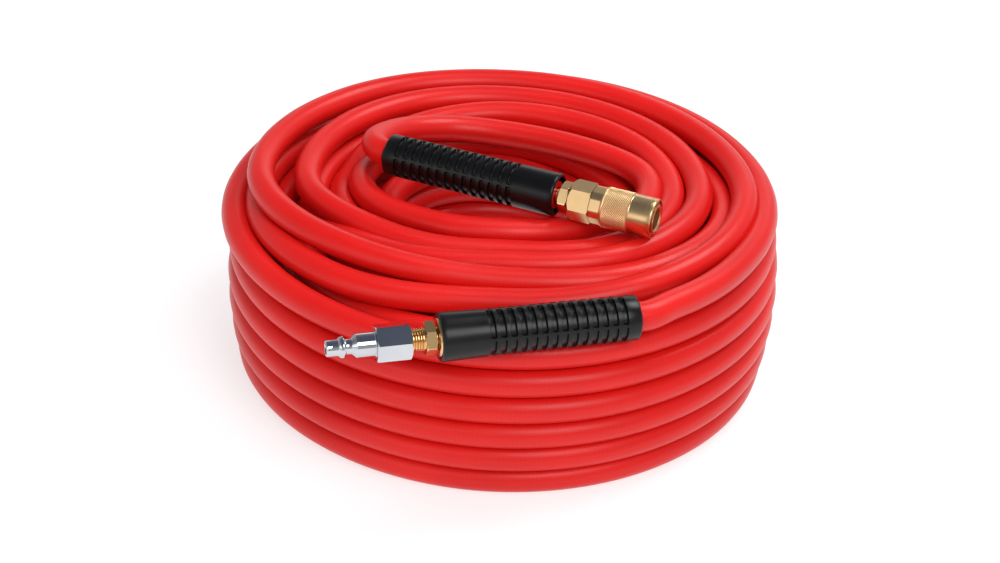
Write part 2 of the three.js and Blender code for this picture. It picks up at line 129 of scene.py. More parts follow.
HOSE_RADIUS = 8.0
CENTRE_Y = 23.5
START_ANGLE = 292.0  # polar angle of turn 0, at the front of the coil
STATIONS = 72  # points per turn
PITCH = 16.2  # between the rows of the outer wall
INNER_PITCH = 15.7  # between the rows of the columns inside it
LEVELS = 5  # the top level of each column, counted from 0
COLUMNS = [72.5, 88.5, 104.5, 120.5, 136.5]  # radii, from the hole outwards
WALL_RADIUS = 157  # of the outer wall at its widest
WALL_WIDEST = 2.7  # the level where it is widest
WALL_BULGE = 0.65  # lost from the radius one level away, growing with the square
FLAT_SIDE_TURN = 0.76  # the coil is a little flatter on this side
FLAT_SIDE_DEPTH = 2.8
FLAT_SIDE_RADII = (140, 150)  # nothing is flattened inside the first, and all is outside the second
BACK_RAMP = (0.3, 0.7)  # the stretch of a turn in which a column changes level
LEFT_RAMP = (0.0, 0.4)
RAMP_PARTS = (0, 0.5, 1)  # fractions of a ramp that get a knot
CROSSING_PARTS = (0, 0.25, 0.5, 0.75, 1)
FLAT_PARTS = (0.3, 0.6, 0.9)  # fractions of the level stretch between ramps that get a knot
COUPLER_HEIGHT = 123.0
COUPLER_YAW = 0.0
COUPLER_MOUTH = np.array([-66.5, 0.0, COUPLER_HEIGHT])
PLUG_YAW = math.radians(218.3)
PLUG_MOUTH = np.array([118.5, -82.9, 110.0])
ENDING = (4, 0.8)  # the last points lie this far before the plug restrictor's mouth
SAMPLE_STEP = 6.0
HOSE_SIDES = 20

# from the coupler end's restrictor round to the coil
COUPLER_LEAD = [
    (-67.3, 0, 123), (-70, 0, 123), (-75.2, 2.2, 123), (-80.4, 7.8, 122.4), (-83.3, 14.5, 121.3),
    (-84.2, 23, 119.7), (-83.4, 34, 117.5), (-81, 45, 115.2), (-76.8, 55, 113),
    (-70.5, 64.5, 110.9), (-62, 73.5, 108.9), (-50, 81.5, 107.2), (-36, 87.5, 106),
    (-19, 91.5, 105.5), (0, 93, 105.5), (18, 92.5, 105.5), (36, 90, 105.5), (52, 85, 105.5),
    (65, 76.5, 105.4), (73, 64, 105.2), (77, 50, 105), (78, 35, 104.8),
]

# Loops that lie on top: (turn, radius, height). Turns count clockwise from the front.
INNER_LOOP = [
    (0.822, 60, 103.3), (0.895, 53, 103.2), (0.948, 51, 104.5), (1.026, 52.5, 105.8),
    (1.071, 57, 105.8), (1.115, 61.5, 105.3), (1.152, 67, 104.2), (1.19, 74.8, 103),
    (1.235, 84, 101.8), (1.28, 90, 100), (1.335, 93, 97.5), (1.42, 90, 93.5), (1.5, 84, 91),
    (1.62, 78, 89), (1.75, 74, 87.5),
]
MIDDLE_LOOPS = [
    (0.5, 102, 105), (0.62, 101, 105), (0.75, 96, 103), (0.87, 81, 101), (1.0, 69, 101.4),
    (1.12, 88, 104), (1.25, 119, 107), (1.37, 122, 108), (1.5, 118, 108), (1.62, 116, 108),
    (1.75, 112, 107), (1.87, 98, 105), (2.0, 85, 104.4), (2.12, 101, 102), (2.25, 115, 94),
    (2.37, 117, 92),
]
OUTER_LOOPS = [
    (0.75, 127, 99.5), (0.87, 116, 102.5), (1.0, 101, 103), (1.12, 121, 110), (1.25, 146, 112),
    (1.37, 143, 111), (1.5, 136, 111), (1.62, 136, 111), (1.75, 139, 110), (1.87, 130, 106),
    (2.0, 117, 99), (2.12, 138, 100), (2.25, 147, 96), (2.37, 145, 92),
]
TAIL = [
    (0.25, 160, 92), (0.33, 158, 95), (0.42, 155.5, 99), (0.5, 154, 102), (0.62, 153, 104.5),
    (0.72, 151.8, 105.3), (0.78, 151.5, 105.6), (0.82, 152, 105.8), (0.844, 153, 106.3),
    (0.872, 155, 107.6), (0.894, 157, 109), (0.911, 158.8, 109.8),
]

# Where the loops go down to the next column, and the turn after which its own knots start.
FROM_MIDDLE_LOOPS = [(2.5, 114, 89), (2.65, 108, 86.5), (2.8, COLUMNS[2], 86.5)]
FROM_OUTER_LOOPS = [(2.5, 143, 89), (2.65, 139, 87), (2.8, COLUMNS[4], 86.5)]
AFTER_INNER_LOOP = 1.9
AFTER_LOOPS = 2.9

# Where a climbed column gives way to the loops or the tail, in turns from the end of its climb.
MIDDLE_TAKEOVER = 0.2
OUTER_TAKEOVER = -0.5
TAIL_TAKEOVER = 0.15

RELAX_ROUNDS = 300
HELD_MOBILITY = 0.06  # how far a held turn gives way to others, where a free one has 1
HELD_PULL = 0.4  # the share of its way back that a held turn makes in each round
FREE_PULL = 0.01
STRAIGHTENING = 0.25  # moves a point halfway to the middle of its neighbours in each round
OUT_OF_REACH = 1e6  # where stations that a turn doesn't have are parked
PARKING_GAP = 1e3
TINY = 1e-6  # keeps a division off zero


def wall_radius(level):
    return WALL_RADIUS - WALL_BULGE * (level - WALL_WIDEST) ** 2


def coil_knots():
    """(turn, radius, height, held) from the inner loop to the tail. Held knots keep their place."""
    knots = []

    def put(turn, radius, height, held=0.0):
        knots.append((turn, radius, height, held))

    def chain(points, shift, held=1.0):
        for turn, radius, height in points:
            put(turn + shift, radius, height, held)

    def drop_after(turn):
        while knots[-1][0] > turn:
            knots.pop()

    def descend(radius, turn, ramp):
        """Down one column, a level each turn. Returns the number of the next turn."""
        start, end = ramp
        lap = math.floor(turn) + (1 if turn % 1 > start else 0)
        for level in range(LEVELS, 0, -1):
            for part in RAMP_PARTS:
                at = lap + start + (end - start) * part
                if at > turn:
                    fall = INNER_PITCH * (1 - math.cos(math.pi / 2 * part))
                    put(at, radius, HOSE_RADIUS + INNER_PITCH * level - fall)
            for part in FLAT_PARTS:
                at = lap + end + (1 - end + start) * part
                put(at, radius, HOSE_RADIUS + INNER_PITCH * (level - 1))
            lap += 1
        return lap

    def cross(inside, outside, lap, ramp):
        """Outwards on the floor, from one column to the next."""
        start, end = ramp
        for part in CROSSING_PARTS:
            radius = outside - (outside - inside) * math.cos(math.pi / 2 * part)
            put(lap + start + (end - start) * part, radius, HOSE_RADIUS)

    def climb(radius, pitch, lap, ramp, held=0.0):
        """Up one column from the floor, a level each turn. Returns the number of the next turn."""
        start, end = ramp
        for level in range(LEVELS + 1):
            for part in FLAT_PARTS:
                at = lap + level + end + (1 - end + start) * part
                put(at, radius(level), HOSE_RADIUS + pitch * level, held)
            if level < LEVELS:
                for part in RAMP_PARTS:
                    rise = level + math.sin(math.pi / 2 * part)
                    at = lap + level + 1 + start + (end - start) * part
                    put(at, radius(rise), HOSE_RADIUS + pitch * rise, held)
        return lap + LEVELS + 1

    chain(INNER_LOOP, 0)
    lap = descend(COLUMNS[0], AFTER_INNER_LOOP, BACK_RAMP)
    cross(COLUMNS[0], COLUMNS[1], lap, BACK_RAMP)
    lap = climb(lambda level: COLUMNS[1], INNER_PITCH, lap, BACK_RAMP)
    drop_after(lap + MIDDLE_TAKEOVER)
    chain(MIDDLE_LOOPS, lap)
    chain(FROM_MIDDLE_LOOPS, lap, held=0.0)
    lap = descend(COLUMNS[2], lap + AFTER_LOOPS, LEFT_RAMP)
    cross(COLUMNS[2], COLUMNS[3], lap, LEFT_RAMP)
    lap = climb(lambda level: COLUMNS[3], INNER_PITCH, lap, LEFT_RAMP)
    drop_after(lap + OUTER_TAKEOVER)
    lap -= 1  # the outer loops count from a turn earlier
    chain(OUTER_LOOPS, lap)
    chain(FROM_OUTER_LOOPS, lap, held=0.0)
    lap = descend(COLUMNS[4], lap + AFTER_LOOPS, BACK_RAMP)
    cross(COLUMNS[4], wall_radius(0), lap, BACK_RAMP)
    lap = climb(wall_radius, PITCH, lap, BACK_RAMP, held=1.0)
    drop_after(lap + TAIL_TAKEOVER)
    chain(TAIL, lap)
    return np.array(knots)


def settle(turn_index, drawn, held):
    """Push turns that lie in each other apart, keeping the held ones near where they were drawn.
    Each row of drawn is (radius, height) at one station of one turn."""
    laps, stations = turn_index // STATIONS, turn_index % STATIONS
    count = laps[-1] + 1
    mobility = np.ones((STATIONS, count))
    mobility[stations, laps] = np.where(held > 0.5, HELD_MOBILITY, 1.0)
    share = mobility[:, :, None] / (mobility[:, :, None] + mobility[:, None, :])
    grid = np.full((STATIONS, count, 2), OUT_OF_REACH)
    grid[:, :, 0] += np.arange(count) * PARKING_GAP
    own = np.arange(count)
    pull = np.where(held > 0.5, HELD_PULL, FREE_PULL)[:, None]
    line = drawn.copy()
    for _ in range(RELAX_ROUNDS):
        grid[stations, laps] = line
        away = grid[:, :, None] - grid[:, None]
        gap = np.sqrt((away**2).sum(-1))
        gap[:, own, own] = np.inf
        push = np.where(gap < 2 * HOSE_RADIUS, 2 * HOSE_RADIUS - gap, 0) / np.maximum(gap, TINY)
        line = line + ((away * (push * share)[..., None]).sum(2) * 0.5)[stations, laps]
        line[1:-1] += STRAIGHTENING * (line[:-2] + line[2:] - 2 * line[1:-1])
        line += (drawn - line) * pull
        line[:, 1] = np.maximum(line[:, 1], HOSE_RADIUS)
    return line


def hose_line():
    """The whole centreline, from the coupler's restrictor to the plug's."""
    knots = coil_knots()
    first, last = math.ceil(knots[0, 0] * STATIONS), math.floor(knots[-1, 0] * STATIONS)
    index = np.arange(first, last + 1)
    values = monotone(knots[:, 0], knots[:, 1:], index / STATIONS)
    flatter = np.maximum(0, np.cos(2 * np.pi * (index / STATIONS - FLAT_SIDE_TURN)))
    values[:, 0] -= FLAT_SIDE_DEPTH * flatter * smooth_step(values[:, 0], *FLAT_SIDE_RADII)
    settled = settle(index, values[:, :2], values[:, 2])
    angle = np.radians(START_ANGLE - 360 * index / STATIONS)
    coil = np.stack([
        settled[:, 0] * np.cos(angle),
        CENTRE_Y + settled[:, 0] * np.sin(angle),
        settled[:, 1],
    ], 1)
    forward = np.array([math.cos(PLUG_YAW), math.sin(PLUG_YAW), 0])
    ending = [PLUG_MOUTH - before * forward for before in ENDING]
    return np.concatenate([np.array(COUPLER_LEAD, float), coil, np.array(ending)])


# ---------------------------------------------------------------- mesh helpers

ROUND_SIDES = 96
HEXAGON_SIDES = 144
WELD = 1e-7


def link(name, mesh, material, body, smooth_angle=35):
    """Put a mesh in the scene on its body. Edges sharper than the angle, in degrees, stay sharp."""
    for polygon in mesh.polygons:
        polygon.use_smooth = True
    bm = bmesh.new()
    bm.from_mesh(mesh)
    limit = math.radians(smooth_angle)
    for edge in bm.edges:
        edge.smooth = len(edge.link_faces) == 2 and edge.calc_face_angle(0) < limit
    bm.to_mesh(mesh)
    bm.free()
    obj = bpy.data.objects.new(name, mesh)
    scene.collection.objects.link(obj)
    mesh.materials.append(material)
    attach(obj, body)
    return obj


def tube(name, points, radius, sides):
    """A closed round tube along points, in metres, with UVs: u round it, v along it."""
    count = len(points)
    tangent = np.gradient(points, axis=0)
    tangent /= np.linalg.norm(tangent, axis=1)[:, None]
    side = np.cross(tangent, np.array([0.0, 0.0, 1.0]))
    side /= np.linalg.norm(side, axis=1)[:, None]
    top = np.cross(side, tangent)
    angle = 2 * np.pi * np.arange(sides) / sides
    rings = points[:, None] + radius * (
        np.cos(angle)[None, :, None] * side[:, None] + np.sin(angle)[None, :, None] * top[:, None]
    )
    i = np.arange(count - 1)[:, None] * sides
    j = np.arange(sides)[None]
    k = (j + 1) % sides
    quads = np.stack([i + j, i + k, i + sides + k, i + sides + j], -1).reshape(-1, 4)
    faces = [tuple(quad) for quad in quads.tolist()]
    faces.append(tuple(range(sides - 1, -1, -1)))
    faces.append(tuple(range((count - 1) * sides, count * sides)))
    mesh = bpy.data.meshes.new(name)
    mesh.from_pydata(rings.reshape(-1, 3).tolist(), [], faces)

    along = path_length(points)
    shape = (count - 1, sides)
    u0, u1 = np.broadcast_to(j / sides, shape), np.broadcast_to((j + 1) / sides, shape)
    v0, v1 = np.broadcast_to(along[:-1, None], shape), np.broadcast_to(along[1:, None], shape)
    corners = [(u0, v0), (u1, v0), (u1, v1), (u0, v1)]
    block = np.stack([np.stack(corner, -1) for corner in corners], 2).reshape(-1, 2)
    coords = np.zeros((len(mesh.loops), 2), np.float32)
    coords[: len(block)] = block
    mesh.uv_layers.new(name="along").data.foreach_set("uv", coords.ravel())
    return mesh


def frame_of(origin, yaw):
    """Placement whose local +X runs along a fitting, from an origin in millimetres."""
    return Matrix.Translation(Vector(origin) * MM) @ Matrix.Rotation(yaw, 4, "Z")


def turned(name, rings, place, sides=ROUND_SIDES):
    """A turned piece along local +X, closed from its last ring back to its first. Each ring is
    (distance, radius) in millimetres, where radius is a number or a function of (distance, angles)."""
    angle = 2 * np.pi * np.arange(sides) / sides
    vertices = []
    for along, radius in rings:
        r = radius(along, angle) if callable(radius) else np.full(sides, float(radius))
        vertices.append(np.stack([np.full(sides, float(along)), r * np.cos(angle), r * np.sin(angle)], 1))
    flat = np.concatenate(vertices) * MM
    faces = []
    for i in range(len(rings)):
        a, b = i * sides, ((i + 1) % len(rings)) * sides
        for j in range(sides):
            k = (j + 1) % sides
            faces.append((a + j, b + j, b + k, a + k))
    mesh = bpy.data.meshes.new(name)
    mesh.from_pydata(flat.tolist(), [], faces)
    mesh.transform(place)
    bm = bmesh.new()
    bm.from_mesh(mesh)
    bmesh.ops.remove_doubles(bm, verts=bm.verts, dist=WELD)
    bmesh.ops.dissolve_degenerate(bm, edges=bm.edges, dist=WELD)
    bmesh.ops.recalc_face_normals(bm, faces=bm.faces)
    bm.to_mesh(mesh)
    bm.free()
    return mesh


def hexagon(flats, turn):
    """Radius of a hexagon at each angle. One of its flats faces the angle turn, in degrees."""
    shift = math.pi / 6 - math.radians(turn)
    return lambda angle: flats / 2 / np.cos((angle + shift) % (math.pi / 3) - math.pi / 6)


def chamfered_hexagon(flats, turn, rear, front):
    """A hexagon with its corners turned down at both ends. Each end is (distance, rise, slope):
    the cut starts that much outside the flats and opens with the slope towards the middle."""
    corner = hexagon(flats, turn)

    def radius(along, angle):
        rear_cut = flats / 2 + rear[1] + (along - rear[0]) * rear[2]
        front_cut = flats / 2 + front[1] + (front[0] - along) * front[2]
        return np.minimum(corner(angle), min(rear_cut, front_cut))

    return radius


def steps(start, end, count):
    return [start + (end - start) * i / count for i in range(count + 1)]


# ---------------------------------------------------------------- materials


def fill_ramp(node, stops):
    """Give a colour ramp node its stops, each (position, colour)."""
    elements = node.color_ramp.elements
    while len(elements) < len(stops):
        elements.new(0.5)
    for element, (position, colour) in zip(elements, stops):
        element.position = position
        element.color = (*colour, 1)


class Nodes:
    """Short hand for building a material."""

    def __init__(self, name):
        self.material = bpy.data.materials.new(name)
        self.material.use_nodes = True
        self.tree = self.material.node_tree
        self.shader = self.tree.nodes["Principled BSDF"]

    def add(self, kind, **values):
        node = self.tree.nodes.new(kind)
        for key, value in values.items():
            setattr(node, key, value)
        return node

    def join(self, source, target):
        self.tree.links.new(source, target)

    def set(self, **values):
        for key, value in values.items():
            self.shader.inputs[key.replace("_", " ")].default_value = value

    def math(self, operation, a, b=None):
        node = self.add("ShaderNodeMath", operation=operation)
        for place, value in enumerate((a, b)):
            if value is None:
                continue
            if isinstance(value, (int, float)):
                node.inputs[place].default_value = value
            else:
                self.join(value, node.inputs[place])
        return node.outputs[0]

    def mix(self, a, share_a, b, share_b):
        return self.math("ADD", self.math("MULTIPLY", a, share_a), self.math("MULTIPLY", b, share_b))

    def ramp(self, factor, *stops):
        node = self.add("ShaderNodeValToRGB")
        fill_ramp(node, stops)
        self.join(factor, node.inputs[0])
        return node.outputs[0]

    def noise(self, scale, detail=3.0, vector=None):
        node = self.add("ShaderNodeTexNoise")
        node.inputs["Scale"].default_value = scale
        node.inputs["Detail"].default_value = detail
        if vector is None:
            vector = self.add("ShaderNodeTexCoord").outputs["Object"]
        self.join(vector, node.inputs["Vector"])
        return node.outputs["Fac"]

    def span(self, value, low, high):
        node = self.add("ShaderNodeMapRange")
        node.inputs["To Min"].default_value = low
        node.inputs["To Max"].default_value = high
        self.join(value, node.inputs["Value"])
        return node.outputs[0]

    def bump(self, height, distance, strength):
        node = self.add("ShaderNodeBump")
        node.inputs["Strength"].default_value = strength
        node.inputs["Distance"].default_value = distance
        self.join(height, node.inputs["Height"])
        self.join(node.outputs[0], self.shader.inputs["Normal"])


WEAVE_COUNT = 24  # threads round the hose, which show faintly through the rubber
WEAVE_PITCH = 0.0046  # along it, in metres


def hose_material():
    m = Nodes("red_hose_rubber")
    m.set(IOR=1.5, Specular_IOR_Level=0.3)
    split = m.add("ShaderNodeSeparateXYZ")
    m.join(m.add("ShaderNodeUVMap", uv_map="along").outputs[0], split.inputs[0])
    around = m.math("MULTIPLY", split.outputs[0], 2 * math.pi * WEAVE_COUNT)
    along = m.math("MULTIPLY", split.outputs[1], 2 * math.pi / WEAVE_PITCH)
    left = m.math("SINE", m.math("ADD", around, along))
    right = m.math("SINE", m.math("SUBTRACT", around, along))
    weave = m.math("MULTIPLY", left, right)
    cloud = m.noise(14.0, 2.0)
    fine = m.noise(900.0, 2.0)
    shade = m.math("ADD", m.math("MULTIPLY", weave, 0.10), cloud)
    colour = m.ramp(shade, (0.3, (0.60, 0.0080, 0.0065)), (0.7, (0.69, 0.0105, 0.0082)))
    m.join(colour, m.shader.inputs["Base Color"])
    m.join(m.span(m.mix(fine, 0.5, cloud, 0.5), 0.30, 0.42), m.shader.inputs["Roughness"])
    m.bump(m.mix(weave, 0.5, fine, 0.25), 0.00002, 0.4)
    return m.material


def rubber_material(name, grey, roughness):
    m = Nodes(name)
    m.set(IOR=1.5, Specular_IOR_Level=0.3)
    grain = m.noise(1600.0)
    patch = m.noise(60.0)
    colour = m.ramp(patch, (0.3, (grey * 0.8,) * 3), (0.75, (grey * 1.3,) * 3))
    m.join(colour, m.shader.inputs["Base Color"])
    m.join(m.span(patch, roughness - 0.06, roughness + 0.08), m.shader.inputs["Roughness"])
    m.bump(grain, 0.00003, 0.5)
    return m.material


def metal_material(name, dark, light, roughness, spread, depth, grain=500.0, stretch=1.0):
    """Metal with a fine grain, which is closer along X by the stretch."""
    m = Nodes(name)
    m.set(Metallic=1.0)
    mapping = m.add("ShaderNodeMapping")
    mapping.inputs["Scale"].default_value = (stretch, 1, 1)
    m.join(m.add("ShaderNodeTexCoord").outputs["Object"], mapping.inputs["Vector"])
    lines = m.noise(grain, 4.0, mapping.outputs[0])
    patch = m.noise(45.0, 2.0)
    m.join(m.ramp(patch, (0.3, dark), (0.7, light)), m.shader.inputs["Base Color"])
    m.join(m.span(lines, roughness - spread, roughness + spread), m.shader.inputs["Roughness"])
    m.bump(lines, depth, 0.6)
    return m.material


RED = hose_material()
BLACK = rubber_material("black_restrictor_rubber", 0.0035, 0.3)
SEAL = rubber_material("black_seal_rubber", 0.012, 0.5)
SATIN_BRASS = metal_material(
    "satin_brass", (0.79, 0.53, 0.26), (0.84, 0.57, 0.285), 0.3, 0.03, 0.0000006, grain=300.0)
BRIGHT_BRASS = metal_material(
    "bright_brass", (0.78, 0.52, 0.24), (0.84, 0.58, 0.29), 0.2, 0.04, 0.000002, stretch=8)
CHROME = metal_material(
    "chrome", (0.56, 0.58, 0.61), (0.62, 0.64, 0.66), 0.07, 0.03, 0.000001, stretch=8)
STEEL = metal_material(
    "spring_steel", (0.42, 0.43, 0.45), (0.52, 0.53, 0.55), 0.25, 0.05, 0.000004, grain=700.0)

# ---------------------------------------------------------------- the hose

line = resample(hose_line(), SAMPLE_STEP) * MM
hose = link("hose", tube("hose", line, HOSE_RADIUS * MM, HOSE_SIDES), RED, "hose", 60)
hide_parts("hose_coil", "hose_coupler_lead", "hose_plug_lead")

# ---------------------------------------------------------------- bend restrictors

SLEEVE_LENGTH = 106.5
MOUTH_RADIUS = 12.1  # outside, where the hose comes out
CUFF_RADIUS = 12.5  # outside, at the plain cuff by the fitting
FLARE_SPAN = (80, 104)  # where a flare grows, if there is one
FIRST_POCKET = 7.5
POCKETS = 14
POCKET_PITCH = 5.45
POCKET_WIDTH = 3.3
POCKET_DEPTH = 1.9
POCKET_WALL = 0.34  # width of the slope from the outside down to a pocket's floor
POCKET_LIP = 0.15  # the outside is still plain this far from a pocket's edge
CORNER_CUT = 0.25  # rounds the corners of a pocket's outline
CORNER_REACH = 0.35
SPINE_HALF_WIDTH = 0.65
RESTRICTOR_SIDES = 216
POCKET_STATIONS = (0.0, 0.1, 0.2, 0.3, 0.42, 0.9, 1.65, 2.4, 2.88, 3.0, 3.1, 3.2, 3.3)
PLAIN_STATIONS = (84.5, 88, 91, 94, 97, 100, 103, 105.2)


def restrictor_surface(spine_angle, flare):
    """Outside radius by distance and angle: pockets between ribs, and a spine every quarter turn."""

    def radius(along, angle):
        plain = MOUTH_RADIUS + (CUFF_RADIUS - MOUTH_RADIUS) * along / SLEEVE_LENGTH
        plain += flare * smooth_step(along, *FLARE_SPAN)
        pocket = (along - FIRST_POCKET) / POCKET_PITCH
        index = math.floor(pocket)
        within = (pocket - index) * POCKET_PITCH
        edge = min(within, POCKET_WIDTH - within)
        if index < 0 or index >= POCKETS or edge <= 0:
            return np.full(len(angle), plain)
        from_spine = (angle - spine_angle + math.pi / 4) % (math.pi / 2) - math.pi / 4
        from_edge = np.abs(from_spine) * plain - SPINE_HALF_WIDTH
        corner = CORNER_CUT * np.exp(-((from_edge - edge) / CORNER_REACH) ** 2)
        inset = np.minimum(from_edge, edge) - corner
        return plain - POCKET_DEPTH * smooth_step(inset, 0.0, POCKET_WALL)

    return radius


def restrictor(name, mouth, yaw, spine_angle, flare):
    surface = restrictor_surface(math.radians(spine_angle), flare)
    outer = [(0.0, MOUTH_RADIUS - 0.9), (0.25, MOUTH_RADIUS - 0.35), (0.9, MOUTH_RADIUS)]
    for rib in range(POCKETS):
        start = FIRST_POCKET + rib * POCKET_PITCH
        outer.append((start - POCKET_LIP, surface))
        outer += [(start + offset, surface) for offset in POCKET_STATIONS]
        outer.append((start + POCKET_WIDTH + POCKET_LIP, surface))
    outer += [(along, surface) for along in PLAIN_STATIONS]
    rim = CUFF_RADIUS + flare
    outer += [(106.1, rim - 0.3), (SLEEVE_LENGTH, rim - 0.9)]
    bore = [(SLEEVE_LENGTH, 10.6), (105.6, 10.5), (74.7, 10.5), (74.7, 8.3), (0.6, 8.3), (0, 8.7)]
    mesh = turned(name, outer + bore, frame_of(mouth, yaw), sides=RESTRICTOR_SIDES)
    obj = link(name, mesh, BLACK, "hose", 40)
    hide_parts("bend_" + name)


restrictor("restrictor_coupler", COUPLER_MOUTH, COUPLER_YAW, spine_angle=158, flare=0.0)
restrictor("restrictor_plug", PLUG_MOUTH, PLUG_YAW, spine_angle=13, flare=0.5)

# ---------------------------------------------------------------- ferrules and stems


def ferrule(name, node, mouth, yaw, end):
    """A crimped shell over the hose's end, closed down to a rim round the stem."""
    start, bore, outside, rim_bore = 75, 8.4, 10.2, 5.7
    rings = [
        (start, bore), (start, outside - 0.3), (start + 0.4, outside), (end - 0.7, outside),
        (end - 0.2, outside - 0.3), (end, 9.4), (end, 6.4), (end - 0.4, 5.9), (end - 1.4, rim_bore),
        (end - 1.6, bore),
    ]
    obj = link(name, turned(name, rings, frame_of(mouth, yaw)), BRIGHT_BRASS, "hose")
    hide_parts(node)


def stem(name, node, mouth, yaw, turn):
    """Three barbs inside the hose, then a shank, a hexagon and a tapered male thread."""
    rear, front, bore, shank, collar = 77, 125.3, 3.0, 3.9, 5.4
    barbs, barb_pitch, barb_length, barb_radius = 3, 8, 6, 4.4
    hex_start, hex_end, flats = 108.7, 114.0, 15.9
    threads, thread_pitch, thread_radius, thread_depth, taper = 6, 1.34, 6.4, 0.95, 0.084
    surface = chamfered_hexagon(flats, turn, (hex_start, 0.35, 1.5), (hex_end, 0.35, 1.5))
    rings = []
    for barb in range(barbs):
        start = rear + barb * barb_pitch
        end = start + barb_length
        rings += [(start, shank), (end, barb_radius), (end + 0.05, shank)]
    rings += [(107.9, shank), (107.9, collar), (hex_start, collar), (hex_start, 7.2)]
    rings += [(along, surface) for along in steps(hex_start, hex_end, 26)]
    rings += [(hex_end, 7.0), (hex_end, 5.6)]
    for thread in range(threads):
        at = hex_end + 0.5 + thread * thread_pitch
        crest = thread_radius - taper * thread
        root = crest - thread_depth
        rings += [(at, root), (at + 0.55, crest), (at + 0.79, crest), (at + 1.2, root)]
    rings += [(front, 5.2), (front, bore), (rear, bore)]
    mesh = turned(name, rings, frame_of(mouth, yaw), sides=HEXAGON_SIDES)
    obj = link(name, mesh, BRIGHT_BRASS, "hose", 28)
    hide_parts(node)
    return obj


ferrule("ferrule_shell_coupler", "ferrule_coupler", COUPLER_MOUTH, COUPLER_YAW, end=102.5)
ferrule("ferrule_shell_plug", "ferrule_plug", PLUG_MOUTH, PLUG_YAW, end=107.4)
stem("stem_and_thread_coupler", "stem_coupler", COUPLER_MOUTH, COUPLER_YAW, turn=152)
plug_stem = stem("stem_and_thread_plug", "stem_plug", PLUG_MOUTH, PLUG_YAW, turn=23)

# ---------------------------------------------------------------- the plug

PLUG_HEX_TURN = 52


def chrome_plug():
    """A hexagon, a shank, a neck where the balls lock, a collar and a nose, with a bore through."""
    rear, front, flats, bore = 121.5, 139.7, 18.0, 2.9
    chamfer = 1.4
    surface = chamfered_hexagon(flats, PLUG_HEX_TURN, (rear, 0.2, 1.6), (front, 0.2, 1.6))
    rings = [(rear, 7.0), (rear, flats / 2 - 0.4)]
    rings += [(along, surface) for along in steps(rear, rear + chamfer, 10)]
    rings += [(along, surface) for along in steps(rear + chamfer + 1, front - chamfer - 1, 4)]
    rings += [(along, surface) for along in steps(front - chamfer, front, 10)]
    rings += [
        (front, 7.4), (front + 0.25, 6.5), (front + 0.5, 6.3), (front + 9.7, 6.3), (front + 10.1, 6.1),
        (front + 12.1, 4.15), (front + 12.5, 4.0), (front + 15.0, 4.0), (front + 15.4, 4.2),
        (front + 15.9, 5.3), (front + 16.5, 5.7), (front + 17.4, 5.7), (front + 18.2, 5.35),
        (front + 19.1, 4.45), (front + 19.5, 4.3), (front + 24.7, 4.3), (front + 25.1, 4.1),
        (front + 25.3, 3.8), (front + 25.3, 3.0), (front + 25.0, bore), (rear + 14, bore),
        (rear + 12, 6.45), (rear + 0.6, 6.45),
    ]
    mesh = turned("plug_body", rings, frame_of(PLUG_MOUTH, PLUG_YAW), sides=HEXAGON_SIDES)
    obj = link("plug_body", mesh, CHROME, "hose", 24)
    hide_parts("plug")
    return obj


plug = chrome_plug()

# ---------------------------------------------------------------- the coupler

AXIS = frame_of((0, 0, COUPLER_HEIGHT), COUPLER_YAW)
COUPLER_HEX_TURN = 155
COUPLER_FLATS = 20.6
SLEEVE_SIDES = 504


def adapter():
    rear, front = 48.5, 61.5
    surface = chamfered_hexagon(COUPLER_FLATS, COUPLER_HEX_TURN, (rear, -0.1, 1.1), (front, 1.2, 4))
    rings = [(rear, 7.4), (rear, COUPLER_FLATS / 2 - 0.5)]
    rings += [(along, surface) for along in steps(rear, rear + 2.2, 12)]
    rings += [(along, surface) for along in steps(rear + 3.5, front - 0.3, 4)]
    rings += [
        (front, surface), (front, 7.8), (67.2, 7.8), (67.2, 5.6), (60.6, 5.6), (60.6, 3.0),
        (59.3, 3.0), (59.3, 6.6), (49.3, 6.6),
    ]
    mesh = turned("adapter_hexagon", rings, AXIS, sides=HEXAGON_SIDES)
    obj = link("adapter_hexagon", mesh, SATIN_BRASS, "hose", 24)
    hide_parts("coupler_adapter")


def socket():
    rear, barrel, bore, neck_radius = 61.8, 8.2, 6.5, 10.85
    corner = hexagon(COUPLER_FLATS, COUPLER_HEX_TURN)

    def neck(along, angle):
        return np.minimum(corner(angle), neck_radius)

    rings = [(along, neck) for along in (rear, 64, 66, 68.0)]
    # the barrel, with the retaining ring's groove and the mouth
    rings += [
        (68.0, barrel), (96.9, barrel), (96.9, 7.5), (98.3, 7.5), (98.3, barrel), (99.15, barrel),
        (99.4, 7.95), (99.4, 7.3), (99.1, 6.9), (98.5, bore),
    ]
    # the bore, the plug seal's groove, the valve's chamber and the recess for the adapter
    rings += [
        (82.0, bore), (80.7, 4.7), (79.5, 4.7), (79.5, 6.3), (76.3, 6.3), (76.3, 4.7), (72, 4.7),
        (72, 6.6), (67.6, 6.6), (67.6, 8.1), (rear, 8.1),
    ]
    mesh = turned("socket_body", rings, AXIS, sides=HEXAGON_SIDES)
    obj = link("socket_body", mesh, SATIN_BRASS, "hose", 24)
    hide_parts("coupler_body")


